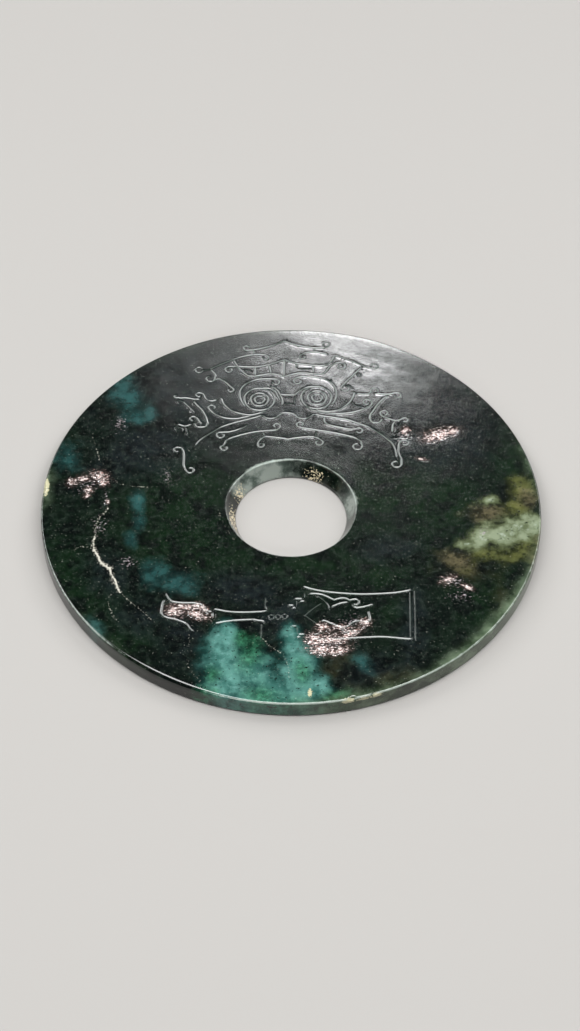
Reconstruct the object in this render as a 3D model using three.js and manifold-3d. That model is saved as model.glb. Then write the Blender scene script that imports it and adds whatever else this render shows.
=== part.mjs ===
// A carved jade bi: a flat ring of nephrite with a pierced centre, an animal mask and a blade
// engraved on its upper face. Millimetres, +Z up, lying on its back face, mask towards +Y.
import * as THREE from "three";
import Module from "manifold-3d";

// Driving sizes of the disc
const discDiameter = 200;
const discThickness = 7.4;
const boreTopDiameter = 51.6;
const boreBottomDiameter = 44.6;
const rimArris = 0.8;
const wornArris = 1.7;
const boreArris = 0.6;

// Sizes of the engraved line
const grooveWidth = 0.95;
const grooveDepth = 0.45;

// The hand-worked unevenness of the ring: angles in degrees from +X, heights in millimetres
const rimSwell = { angle: 72, spread: 9, height: 0.4 };
const softPlace = { angle: 241, spread: 15 };
const boreWander = { angle: 130, spread: 60, broad: 0.35, narrow: 0.2 };

// How finely curves are divided
const discSides = 100;
const arcStep = 32;
const curveTolerance = 0.15;
const pointsPerKnot = 8;

// The drawing is laid out on a face of this width and follows the disc's size.
// Every list below is x, y, x, y and so on; a point given twice is a sharp corner.
const drawnDiameter = 200;
const faceScale = discDiameter / drawnDiameter;

const radius = discDiameter / 2;
const degrees = Math.PI / 180;

function line(...numbers) {
  const points = [];
  for (let i = 0; i < numbers.length; i += 2) {
    points.push([numbers[i], numbers[i + 1]]);
  }
  return points;
}

// A curl runs around its centre from one radius and angle, turning inwards to the other radius.
function curl(x, y, radiusOut, radiusIn, fromAngle, turn) {
  const steps = Math.max(3, Math.ceil(Math.abs(turn) / arcStep));
  const points = [];
  for (let i = 0; i <= steps; i += 1) {
    const share = i / steps;
    const angle = (fromAngle + turn * share) * degrees;
    const r = radiusOut + (radiusIn - radiusOut) * share;
    points.push([x + r * Math.cos(angle), y + r * Math.sin(angle)]);
  }
  return points;
}

// A hook is a curl that a stroke starts from, so its points run outwards.
function hook(...numbers) {
  return curl(...numbers).reverse();
}

function ring(x, y, r) {
  return curl(x, y, r, r, 0, 360);
}

// The mask: crest, brows, eyes, nose, mouth and whiskers
const maskMiddle = [
  [hook(-19.5, 88.75, 1.35, 1.15, 270, -270),
    line(-16.9, 87.6, -12.4, 88.85, -7.8, 90.85, -5.5, 92.2, -4, 93.1, -4, 93.1),
    line(-2.1, 92.2, 2.5, 90.4, 7.1, 89.5, 10.5, 89.3, 12.9, 89.45),
    curl(13.6, 91.6, 1.45, 1.15, 300, 290)],
  [line(-24.9, 81.8, -24.1, 80, -21.9, 75.95, -20.1, 73.95, -18.5, 72.65, -16, 72.45),
    line(-12.4, 73.2, -9.2, 73.9, -6.2, 73.4, -3.4, 72.4, -3.4, 72.4, -1, 73.4, 2.5, 74.5),
    line(7.1, 74.35, 10.5, 74.1, 12.9, 74.7, 14.1, 76.2, 15.2, 78.2, 16.6, 79.8, 18.2, 80.7),
    curl(19.9, 78.75, 2.15, 0.7, 100, -430)],
  [hook(-26.5, 75.9, 1.9, 0.8, 85, 370),
    line(-22, 77.8, -19.2, 77.65, -16.9, 77.65, -14.6, 77.8, -10.1, 79.2, -5.5, 81.3),
    line(-3.6, 82.2, -3.6, 82.2, -1.5, 81.2, 0.8, 80.2, 4.8, 79.5, 9.4, 79, 13, 79.2),
    line(15.2, 80.6, 16.3, 82.2, 17.5, 84.9, 17.5, 84.9, 19.6, 84.1, 22.3, 82.9, 26.8, 80.7),
    line(31, 78.3),
    curl(33.8, 79.15, 1.6, 1.25, 250, 300)],
  [line(-12.3, 50.4, -11.5, 49.35, -10.1, 48.5, -8.3, 48.45, -6.8, 49.1, -5.4, 50.4),
    line(-4.2, 51.5, -2.5, 51.75, -0.6, 51.5, 0.8, 50.9, 2.2, 49.3, 3.8, 48.65, 5.6, 48.8),
    line(7.1, 49.8, 8.4, 50.85, 9.6, 51.2)],
  [line(-5.5, 62.4, -4, 62.05, 0.4, 61.95, 1.3, 62.4, 2.9, 64.3, 4.2, 65.4, 5.6, 66.2),
    line(7.4, 66.8, 9.4, 66.9)],
  [hook(-12.6, 33.5, 1.3, 1.1, 165, 285),
    line(-13.6, 35.3, -12.6, 36.9, -11.6, 37.9, -10.6, 38.25, -7.8, 38, -3.5, 37.35),
    line(-1.7, 36.85, -1.7, 36.85, 0.4, 37.5, 4.8, 38.25, 7.1, 38.5, 8.8, 38.45, 10.2, 38),
    line(11.4, 37.2, 12.3, 36.2),
    curl(10.95, 35.35, 1.65, 1, 15, -300)],
  [line(-16.6, 87.8, -16.5, 85.2)],
  [line(8.6, 89.4, 8.6, 87.4)],
  [line(-15.7, 77.8, -15.7, 73)],
  [line(-10.2, 79.2, -9.8, 77.3, -9.2, 74.3)],
  [line(-3.7, 81.9, -3.75, 72.8)],
  [line(1.45, 80.2, 1.45, 77.8)],
  [line(8.5, 79.2, 8.5, 74.8)],
];
const maskLeft = [
  [line(-34.4, 76.1, -33.2, 77.05, -30.2, 78.95, -25, 81.9, -21.5, 83.5, -16.9, 84.75),
    line(-12.9, 85, -11, 84.5),
    curl(-11.5, 83.35, 1.2, 1.05, 40, -240)],
  [curl(-39.05, 75.5, 1.55, 1.45, 20, 350)],
  [line(-34.3, 76.1, -33.6, 75, -32.6, 73.7, -32, 72.4),
    curl(-34.35, 70.8, 2.15, 1.2, 15, -290)],
  [line(-32.9, 69.5, -31.5, 70.3, -30.3, 70.45, -29, 69.65, -27.6, 68.4, -26.5, 67.05),
    line(-25.4, 65.8, -24.6, 65),
    curl(-25.65, 64.35, 1.2, 1, 15, -240)],
  [ring(-13.65, 59.2, 6.25)],
  [ring(-13.6, 59.05, 3.65)],
  [ring(-13.6, 59.05, 2)],
  [line(-13, 65.5, -10.1, 65.5, -8.7, 65, -7.4, 63.9, -6.6, 62, -5.8, 60.2, -5.2, 58.9)],
  [line(-9.2, 66.9, -8.2, 66.3, -7.2, 65.3, -6.1, 64, -5.4, 62.4, -4.8, 61, -4.3, 59.2),
    line(-4.1, 57.6, -4.3, 56)],
  [hook(-7.1, 69.2, 1.65, 1.2, 75, -270),
    line(-8.6, 70.95, -10.1, 70.95, -13.3, 70.75, -15.5, 70.25, -17.2, 69.4, -18.9, 68.3),
    line(-20.3, 66.8, -21.3, 64.9, -21.8, 62.8, -21.8, 61, -21.4, 58.8, -20.7, 57),
    line(-19.4, 55.2)],
  [line(-29.5, 60, -29, 57.8, -28.2, 55.9, -26.6, 54, -24.3, 52.2, -22.2, 51.2, -19.3, 50.45),
    line(-16.9, 50.25, -15, 50.8, -13, 51.6, -11, 52.8)],
  [hook(-33.2, 54.2, 1.45, 1.15, 220, -270),
    line(-33.4, 52.1, -32.3, 50.9, -30.7, 49.8, -28.2, 48.5, -25, 48, -22.3, 48.15),
    line(-20.3, 48.8, -18.2, 49.35, -16.6, 50)],
  [line(-12.4, 50.3, -14.2, 49.3, -15.8, 48.65, -20.3, 47, -24.9, 45.2, -29.5, 42.9),
    line(-31.8, 41.15, -34.3, 39, -36.4, 37, -37.8, 35.3, -39.3, 32.8)],
  [hook(-29.1, 38.65, 1.75, 1.1, 125, 310),
    line(-28.4, 40.35, -26.1, 40.5, -24.3, 41, -22.6, 41.7, -21, 42.5, -19.3, 43.7),
    line(-18.3, 44.6)],
  [hook(-27.55, 31.65, 1.6, 1.1, 100, 330),
    line(-27.2, 34.4, -27, 35.5, -26.1, 36.5, -24.6, 37.3, -21.5, 38.7, -18.5, 39.8),
    line(-15.5, 40.7, -12.4, 41.3, -9, 41.75, -6.7, 42.05),
    curl(-6.5, 44.35, 1.75, 0.7, 300, 330)],
  [hook(-47.9, 60.3, 0.95, 0.8, 320, -250),
    line(-46.6, 59.3, -44.2, 59.5, -42, 59.1, -40.4, 58.7, -38, 58.85)],
  [hook(-38.7, 61.2, 1.25, 1, 75, 250),
    line(-37.2, 62, -36.6, 60.9, -36.1, 59.6, -35, 58.5, -33.6, 57.9, -32.2, 58.2, -31, 58.8)],
  [line(-40.9, 57.6, -39.5, 55.5, -38.1, 53.8, -37, 52.2, -36.1, 50.3, -35.4, 48.4),
    line(-35, 46.6, -34.7, 45, -35.4, 43.5, -37.2, 43, -38.8, 43.2, -39.8, 44.3, -40.1, 45.3)],
  [hook(-40.7, 47.6, 1.35, 1.05, 70, 210),
    line(-39.1, 48, -38.2, 46.3, -37.2, 44.6)],
  [line(-47.2, 44.7, -45.5, 44, -44, 43.3, -44, 43.3, -42.2, 44.1, -41, 44.9)],
  [hook(-46.7, 30.3, 1.35, 1, 60, 250),
    line(-45.2, 31.5, -44.7, 30.9, -44.2, 29.6, -43.8, 27.4, -43.75, 25, -43.75, 22.6),
    line(-43.5, 20.8, -42.9, 19.2),
    curl(-41, 19.25, 1.65, 1.2, 200, 290)],
];
const maskRight = [
  [line(14.5, 85.6, 13, 86.1, 11.4, 86.5, 8.8, 87, 6.5, 86.6, 4.3, 85.9, 3.1, 85),
    curl(4.1, 83.95, 1.5, 0.5, 160, 290)],
  [ring(9.8, 60.6, 6.25)],
  [ring(10.1, 60.5, 3.9)],
  [ring(10.1, 60.5, 2.1)],
  [hook(2.1, 69.9, 1.9, 1.15, 120, 280),
    line(2.4, 72.1, 4.8, 72.65, 7.2, 72.7, 9.5, 72.4, 11.7, 71.8, 13.8, 70.9, 15.5, 69.6),
    line(16.9, 67.7, 17.8, 65.2, 18.1, 62.6, 17.9, 60.5, 17.2, 58.5, 16.1, 56.9)],
  [line(5.4, 55.6, 6.6, 54.7, 8.2, 53.5, 10.7, 52.7, 13.9, 52.1, 17.3, 51.75, 20.7, 51.75),
    line(23, 52.15, 26.8, 53.3, 28.8, 54.3, 30.8, 55.5),
    curl(30.6, 58.2, 2.35, 0.7, 310, 430)],
  [line(9.6, 54, 11.2, 53.2, 13, 52.85, 15.2, 52.75, 17.2, 53.1, 19.1, 54, 21, 55.4),
    line(22.6, 57, 24, 59, 25, 61.2, 25.5, 63, 25.5, 64.3)],
  [line(9, 51.4, 11.6, 50.4, 13.9, 50, 18.5, 49.15, 22.3, 48.4, 26.8, 46.4, 31.4, 44.3),
    line(33.6, 42.7, 35.6, 41, 38.4, 38.1, 40.5, 35.8, 41.6, 33.2, 42.3, 30.1, 42.6, 27.6)],
  [line(13.3, 49.9, 13.1, 48.3, 13.2, 47.1, 14.4, 45.8, 17.2, 44.5, 19.8, 43.85, 22.2, 43.2),
    line(24.3, 42.95, 25.6, 43.2),
    curl(27.3, 42.3, 1.6, 1.1, 145, -330)],
  [hook(3.3, 45.4, 1.6, 0.9, 230, -290),
    line(3.5, 43.7, 5.5, 43.2, 8, 42.75, 11.6, 42, 14.5, 41.5, 17.8, 40.7, 20.7, 39.9),
    line(23, 39.2, 25.5, 38.3, 27.2, 37.2, 28.1, 36.3),
    curl(26.5, 33.6, 2.2, 1.2, 40, -350)],
  [line(28.9, 78.7, 27.5, 76.9, 26.2, 75.3, 25, 73.6, 22.9, 70.9, 21.8, 69.2, 20.6, 67.6),
    curl(21.85, 66.1, 1.75, 1.2, 150, 300)],
  [line(26.3, 63.3, 28, 62.9, 30, 62.85, 31.4, 63.4),
    curl(33.9, 65.1, 1.6, 1.3, 205, -240)],
  [line(33.8, 63.6, 35.8, 63.2, 38.2, 63.1, 40.2, 63.2, 41.8, 63.8, 43, 64),
    curl(43.3, 62.5, 1.45, 1, 55, -250)],
  [line(39.5, 62.4, 37.8, 60.8, 36.4, 59, 34.7, 56.5, 33.3, 53.6, 32.3, 51.9, 31.8, 50.2),
    line(31.9, 48.6, 32.6, 47.4, 33.8, 46.9, 35, 46.9, 36.2, 47.7, 37, 49.3)],
  [hook(37.8, 52.3, 1.75, 1.1, 230, -330),
    line(37.3, 50.6, 38.8, 49.7, 40.5, 48.8, 42.3, 48.2, 43.8, 48.6, 45.2, 49.5),
    curl(46.2, 48.6, 1.25, 0.9, 75, -240)],
  [line(42.4, 48, 41.5, 46.5, 41.1, 45, 41, 43.4, 40.9, 41.8)],
  [hook(46.1, 35.8, 1.5, 1.1, 100, -280),
    line(44.4, 37, 43.7, 35.4, 43.4, 33, 43.3, 31, 43.7, 28.9, 44.4, 27),
    curl(42.3, 24.2, 2.3, 1.2, 20, -320)],
];

// The blade: its outline, the ribbon and diamond inside it, the stepped guards, dots and tang
const blade = [
  [line(5, -41.4, 8, -42.6, 12.3, -43.7, 18, -44.5, 26, -45, 32, -44.9, 40.75, -44.1),
    line(44, -43.45, 47.6, -42.5)],
  [line(9.4, -67.8, 18.5, -67.6, 27, -66.95, 36, -66.45, 44.5, -67.2, 47.5, -67.3)],
  [line(7.4, -45.2, 9.9, -45.1, 12, -45.4, 13.9, -46.2, 15.6, -47.2, 17.2, -48.2),
    line(17.2, -48.2, 18.6, -47.6, 20.4, -47.15, 21.8, -47.35, 23.3, -48.3, 23.3, -48.3),
    line(24.6, -47.75),
    curl(25.5, -49.3, 1.6, 1, 80, -220)],
  [line(24.3, -50.2, 25, -51.5, 26.2, -51.9, 28.2, -51.6, 30, -51.05, 32.5, -50.1)],
  [line(16, -51.9, 17.8, -50.8, 20.1, -49.7, 22.6, -49.2)],
  [line(12.2, -58.9, 13.5, -58.7, 15.4, -59.7, 18.2, -61.1, 20.4, -61.7, 22.3, -61.4),
    line(23.7, -60.2, 24.6, -59.2, 26, -58.65, 28.2, -58.65, 30, -59.1, 30.9, -58.4),
    line(31.1, -56.9, 30.8, -55.2, 30.5, -53.6)],
  [line(1.7, -47.8, 4.9, -47.8)],
  [line(3.7, -49.2, 5.9, -48.8)],
  [line(-0.9, -51.15, 1.6, -51.15)],
  [line(0.8, -52.4, 2.4, -52.4)],
  [line(0.5, -61.65, 2.9, -61.65)],
  [line(3.2, -65.65, 5.9, -65.65)],
  [line(2.6, -67, 4.4, -67)],
  [ring(-7.1, -57.2, 1.1)],
  [ring(-4.5, -57, 1.1)],
  [ring(-2, -56.8, 1.1)],
  [line(-48.6, -46, -47.8, -47.9, -46.9, -49.1, -46, -50, -44.4, -50.4, -42.8, -50.6),
    line(-40.3, -50.7, -38.5, -50.6, -36.2, -50.8, -34.6, -51.4, -33.1, -53, -31.8, -54.6),
    line(-30.2, -55)],
  [line(-29.6, -53.6, -28, -53.9, -25, -54.6, -22, -54.95, -15.75, -54.95, -12.5, -54.7),
    line(-10.5, -54.5, -8.8, -54)],
  [line(-28.9, -60.8, -27, -60.3, -24.5, -59.7, -22, -59.25, -17, -58.8, -14, -58.7),
    line(-12, -59.1, -10.6, -59.3, -9.6, -60)],
  [line(-48.9, -49.2, -49.6, -51.2, -49.8, -53.5, -49.95, -55.8, -49.2, -57.3, -47, -58.4),
    line(-45, -58.8, -43.5, -59.4, -41.6, -60.2, -40.3, -60.9, -39.4, -62, -38.7, -63.4),
    line(-37.2, -64.8)],
  [line(-30, -55.4, -30, -57.8)],
];

// Small breaks on the rim: angle in degrees, half lengths along, inwards and down
const rimChips = [
  { angle: 176, along: 5.2, inwards: 1, down: 1.6 },
  { angle: 171, along: 2.6, inwards: 0.8, down: 1.1 },
  { angle: 284, along: 2.4, inwards: 1.1, down: 1.2 },
  { angle: 289, along: 1.8, inwards: 0.9, down: 1 },
  { angle: 340, along: 2, inwards: 0.7, down: 0.9 },
];

// Splits a stroke at its corners and runs a smooth curve through each stretch
function smoothed(points) {
  const stretches = [[points[0]]];
  for (let i = 1; i < points.length; i += 1) {
    const [x, y] = points[i];
    const last = points[i - 1];
    if (x === last[0] && y === last[1]) {
      stretches.push([points[i]]);
    } else {
      stretches[stretches.length - 1].push(points[i]);
    }
  }
  const finePoints = [];
  for (const stretch of stretches) {
    if (stretch.length > 1) {
      const knots = stretch.map(([x, y]) => new THREE.Vector3(x * faceScale, y * faceScale, 0));
      const curve = new THREE.CatmullRomCurve3(knots, false, "centripetal");
      const fine = knots.length === 2 ? knots : curve.getPoints(pointsPerKnot * (knots.length - 1));
      finePoints.push(...(finePoints.length ? fine.slice(1) : fine));
    }
  }
  return finePoints;
}

// Drops the points that lie within the tolerance of the chord around them
function thinned(points, tolerance) {
  if (points.length < 3) {
    return points;
  }
  const first = points[0];
  const last = points[points.length - 1];
  const chord = last.clone().sub(first);
  const length = chord.length();
  let worst = 0;
  let index = 1;
  for (let i = 1; i < points.length - 1; i += 1) {
    const offset = points[i].clone().sub(first);
    const cross = Math.abs(offset.x * chord.y - offset.y * chord.x);
    const distance = length > tolerance ? cross / length : offset.length();
    if (distance > worst) {
      worst = distance;
      index = i;
    }
  }
  if (worst <= tolerance) {
    return [first, last];
  }
  const before = thinned(points.slice(0, index + 1), tolerance);
  const after = thinned(points.slice(index), tolerance);
  return [...before, ...after.slice(1)];
}

const wasm = await Module();
wasm.setup();

function solidOf(vertices, triangles) {
  return new wasm.Manifold(new wasm.Mesh({
    numProp: 3,
    vertProperties: new Float32Array(vertices.flat()),
    triVerts: new Uint32Array(triangles.flat()),
  }));
}

// The V-shaped cutters of one stroke: a short three-sided prism between each two of its points.
// They stand a little above the face, grow shallow at a stroke's ends and are mitred at its bends.
function strokeCutters(pieces) {
  const clearance = 0.3;
  const endShare = 0.35;
  const widestMitre = 1.8;
  const points = thinned(smoothed(pieces.flat()), curveTolerance);
  const closed = points[0].distanceTo(points[points.length - 1]) < curveTolerance;
  const lastIndex = points.length - 1;
  const sections = points.map((point, i) => {
    const before = i > 0 ? points[i - 1] : (closed ? points[lastIndex - 1] : point);
    const after = i < lastIndex ? points[i + 1] : (closed ? points[1] : point);
    const along = after.clone().sub(before).normalize();
    const inward = i > 0 ? point.clone().sub(before).normalize() : along;
    const mitre = 1 / Math.max(1 / widestMitre, along.dot(inward));
    const atEnd = !closed && (i === 0 || i === lastIndex);
    const share = atEnd ? endShare : 1;
    const depth = grooveDepth * share;
    const top = discThickness + clearance * share;
    const half = (grooveWidth / 2) * share * (1 + (clearance * share) / depth) * mitre;
    return [
      [point.x - along.y * half, point.y + along.x * half, top],
      [point.x, point.y, discThickness - depth],
      [point.x + along.y * half, point.y - along.x * half, top],
    ];
  });
  const sides = [[0, 1, 2], [3, 5, 4], [0, 2, 5], [0, 5, 3], [0, 3, 4], [0, 4, 1], [2, 1, 4], [2, 4, 5]];
  const prisms = [];
  for (let i = 0; i < lastIndex; i += 1) {
    prisms.push(solidOf([...sections[i], ...sections[i + 1]], sides));
  }
  return prisms;
}

// How much an angle lies inside a soft bump around another angle, from 0 to 1
function bump(angle, centre, halfWidth) {
  const apart = Math.abs(((angle - centre + 540) % 360) - 180);
  return Math.exp(-((apart / halfWidth) ** 2));
}

// The disc's section at one angle, as [radius, height] pairs around it, from the bore's foot
function section(angle) {
  const swell = rimSwell.height * bump(angle, rimSwell.angle, rimSwell.spread);
  const outer = radius + swell * faceScale;
  const broad = boreWander.broad * Math.sin((angle - 20) * 3 * degrees);
  const narrow = boreWander.narrow * Math.sin((angle + 40) * 7 * degrees);
  const wander = (broad + narrow) * bump(angle, boreWander.angle, boreWander.spread);
  const boreTop = boreTopDiameter / 2 + wander;
  const boreBottom = boreBottomDiameter / 2;
  const softness = wornArris * bump(angle, softPlace.angle, softPlace.spread);
  const worn = Math.min(rimArris + softness, discThickness / 2 - boreArris / 2);
  const rounded = 1 - Math.SQRT1_2;
  return [
    [boreBottom, boreArris],
    [boreTop, discThickness - boreArris],
    [boreTop + boreArris, discThickness],
    [outer - worn, discThickness],
    [outer - worn * rounded, discThickness - worn * rounded],
    [outer, discThickness - worn],
    [outer, rimArris],
    [outer - rimArris, 0],
    [boreBottom + boreArris, 0],
  ];
}

function discBody() {
  const vertices = [];
  const triangles = [];
  const perSection = section(0).length;
  for (let i = 0; i < discSides; i += 1) {
    const angle = (360 * i) / discSides;
    for (const [r, z] of section(angle)) {
      vertices.push([r * Math.cos(angle * degrees), r * Math.sin(angle * degrees), z]);
    }
    const here = i * perSection;
    const next = ((i + 1) % discSides) * perSection;
    for (let j = 0; j < perSection; j += 1) {
      const up = (j + 1) % perSection;
      triangles.push([here + j, next + up, next + j], [here + j, here + up, next + up]);
    }
  }
  return solidOf(vertices, triangles);
}

// A chip's cutter: a flattened round body set on the upper arris of the rim
function chipCutter(chip) {
  const ball = new THREE.IcosahedronGeometry(1, 1);
  const position = ball.getAttribute("position");
  const turn = new THREE.Matrix4().makeRotationZ(chip.angle * degrees);
  const seen = new Map();
  const vertices = [];
  const indices = [];
  for (let i = 0; i < position.count; i += 1) {
    const corner = new THREE.Vector3().fromBufferAttribute(position, i);
    const key = corner.toArray().map((value) => value.toFixed(4)).join();
    if (!seen.has(key)) {
      seen.set(key, vertices.length);
      corner.multiply(new THREE.Vector3(chip.inwards, chip.along, chip.down));
      corner.add(new THREE.Vector3(radius, 0, discThickness));
      vertices.push(corner.applyMatrix4(turn).toArray());
    }
    indices.push(seen.get(key));
  }
  return solidOf(vertices, indices);
}

function geometryOf(solid) {
  const mesh = solid.getMesh();
  const geometry = new THREE.BufferGeometry();
  geometry.setAttribute("position", new THREE.BufferAttribute(mesh.vertProperties, 3));
  geometry.setIndex(new THREE.BufferAttribute(mesh.triVerts, 1));
  geometry.computeVertexNormals();
  return geometry;
}

const cutters = [
  ...[...maskMiddle, ...maskLeft, ...maskRight, ...blade].flatMap(strokeCutters),
  ...rimChips.map(chipCutter),
];
const carved = discBody().subtract(wasm.Manifold.union(cutters));

const nephrite = new THREE.MeshStandardMaterial({ color: "#4b5a50", roughness: 0.28, metalness: 0 });
const disc = new THREE.Mesh(geometryOf(carved), nephrite);
disc.name = "jade_disc";

const part = new THREE.Group();
part.add(disc);

export default part;
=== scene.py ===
"""A carved jade bi lying on a pale studio floor.

The ring, its engraving and its stone are made here as one fine mesh around the CAD disc.
The drawing is in millimetres on the upper face: +X to the right, +Y towards the mask.
"""

import math

import bpy
import numpy as np
from mathutils import Matrix, Vector, geometry, noise


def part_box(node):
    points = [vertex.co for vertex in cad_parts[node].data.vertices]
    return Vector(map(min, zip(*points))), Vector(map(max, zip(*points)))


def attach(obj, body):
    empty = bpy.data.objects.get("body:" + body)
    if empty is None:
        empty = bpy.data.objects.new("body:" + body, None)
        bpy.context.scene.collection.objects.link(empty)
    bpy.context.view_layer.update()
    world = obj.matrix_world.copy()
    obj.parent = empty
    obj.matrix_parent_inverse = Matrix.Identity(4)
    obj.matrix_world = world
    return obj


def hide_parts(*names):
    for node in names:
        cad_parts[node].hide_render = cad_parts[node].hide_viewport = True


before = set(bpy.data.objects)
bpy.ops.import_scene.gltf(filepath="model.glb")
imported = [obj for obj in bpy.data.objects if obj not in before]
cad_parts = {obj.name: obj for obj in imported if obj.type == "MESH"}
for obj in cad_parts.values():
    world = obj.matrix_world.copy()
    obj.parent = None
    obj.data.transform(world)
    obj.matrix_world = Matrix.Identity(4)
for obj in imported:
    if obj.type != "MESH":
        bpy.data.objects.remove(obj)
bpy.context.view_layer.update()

MM = 0.001

# The disc, in mm: its width and thickness come from the CAD, the rest are the same named sizes
FAR_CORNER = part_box("jade_disc")[1]
RADIUS = FAR_CORNER.x / MM
THICKNESS = FAR_CORNER.z / MM
BORE_MOUTH = 25.8
BORE_FOOT = 22.3
RIM_ARRIS = 0.8
WORN_ARRIS = 1.7
BORE_ARRIS = 0.6
RIM_SWELL = 0.4
BROAD_WANDER = 0.35
NARROW_WANDER = 0.2

# Where the rim swells and is worn, and where the bore's mouth wanders: angle and spread in degrees
SWELL_AT = (72, 9)
WORN_AT = (241, 15)
WANDER_AT = (130, 60)

# The engraved line, in mm: a wheel-cut V with a worn bottom and soft shoulders
GROOVE_HALF = 0.46
GROOVE_DEPTH = 0.23
GROOVE_BOTTOM = 0.05
GROOVE_SHOULDER = 0.06
CUT_REACH = 1.6

# Shares of a full cut: a light stroke's depth, the least width, and where a shoulder counts as level
LIGHT_WEIGHT = 0.6
LEAST_WIDTH = 0.75
LEVEL = 0.003

# Hand polish in mm: how far it hollows the face, how uneven it is, and how it fades at the edges
POLISH_HOLLOW = 0.06
BROAD_POLISH = 0.048
FINE_POLISH = 0.015
BROAD_GRAIN = 14
FINE_GRAIN = 5
POLISH_FADE = 8
RIM_FLAT = 2
BORE_FLAT = 1

# Scars of lost flakes and healed cracks: depths and grains in mm
SCAR_DEPTH = 0.1
SPLINTER_DEPTH = 0.12
LUMP_DEPTH = 0.07
CRACK_DEPTH = 0.03
FLAKE_GRAIN = 0.75
LUMP_GRAIN = 2

# How fast a scar drops at its edge, how much of it loose flecks have, and how splinters stretch
SCAR_STEEPNESS = 2.2
FLECK_SHARE = 0.35
SPLINTER_STRETCH = (0.6, 1)

# How finely the mesh follows the work: the points around the disc, then distances in mm
AROUND = 540
STATION = 0.45
FACE_STEP = 1.05
FLAKE_STEP = 0.45
CURL_STEP = 0.3
CURL_REACH = 1.3
TIGHT_RADIUS = 2.6
VEIN_REACH = 3.0
VEIN_ROOM = 0.5
SLOPE_STEP = 0.02
THINNED_TO = 0.11
BORE_MARGIN = 0.45
RIM_MARGIN = 0.65
CHORD_SLACK = 0.01
ROWS_BESIDE = (0, 0.1, 0.34, 0.46, 0.57)
ROW_SLACK = 0.04

# Room in mm that flaked, plain and curled places leave beside a line
ROOM_BESIDE = (0.75, 0.95, 0.64)

# Directions in degrees of the points round a line's end, and the field where flaked mesh begins
END_FAN = (-60, -30, 0, 30, 60)
FLAKE_EDGE = -0.1

# How many rings of points: on the arrises, down the rim, in under the disc and up the bore
UPPER_ARRIS_RINGS = 8
RIM_RINGS = 7
LOWER_ARRIS_RINGS = 5
UNDERSIDE_RINGS = 14
UNDERSIDE_CROWDING = 1.3
FOOT_ARRIS_RINGS = 4
BORE_RINGS = 8
MOUTH_ARRIS_RINGS = 5

# Bands in mm of pale stone and painted light: how far each reaches from its edge, and over how much it fades
CORNER_BAND = 0.8
CORNER_FADE = 0.4
RIM_HIGHLIGHT_BAND = 0.9
MOUTH_HIGHLIGHT_BAND = 0.7
BAND_FADE = 0.5
RIM_GLOW_DEPTH = 8
BORE_PALE_AND_SHEEN_DEPTH = 1.2
BORE_FLECK_BAND = 0.4
BORE_FLECK_FADE = 1.6
UPPER_SKIN = 1
CREAM_SKIN = 1.8

# Near side of the painted rim highlight: angle and spread in degrees; how painted glow and veins fall off
NEAR_HIGHLIGHT_SIDE = (262, 85)
RIM_GLOW_FALL = 1.5
VEIN_SPREAD = 1.4

# The drawing's own radius in mm, a curl's step in degrees, and how sharply ovals flow together
DRAWN_RADIUS = 100.0
FACE_SCALE = RADIUS / DRAWN_RADIUS
ARC_STEP = 20
OVAL_FLOW = 4


def line(*numbers):
    """x, y, x, y and so on; a point given twice is a sharp corner."""
    return list(zip(numbers[::2], numbers[1::2]))


def curl(x, y, radius_out, radius_in, start, turn):
    """Runs around its centre from one radius and angle, turning inwards to the other radius."""
    steps = max(3, math.ceil(abs(turn) / ARC_STEP))
    points = []
    for i in range(steps + 1):
        share = i / steps
        angle = math.radians(start + turn * share)
        r = radius_out + (radius_in - radius_out) * share
        points.append((x + r * math.cos(angle), y + r * math.sin(angle)))
    return points


def hook(*numbers):
    """A curl that a stroke starts from, so its points run outwards."""
    return curl(*numbers)[::-1]


def ring(x, y, r):
    return curl(x, y, r, r, 0, 360)


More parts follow.
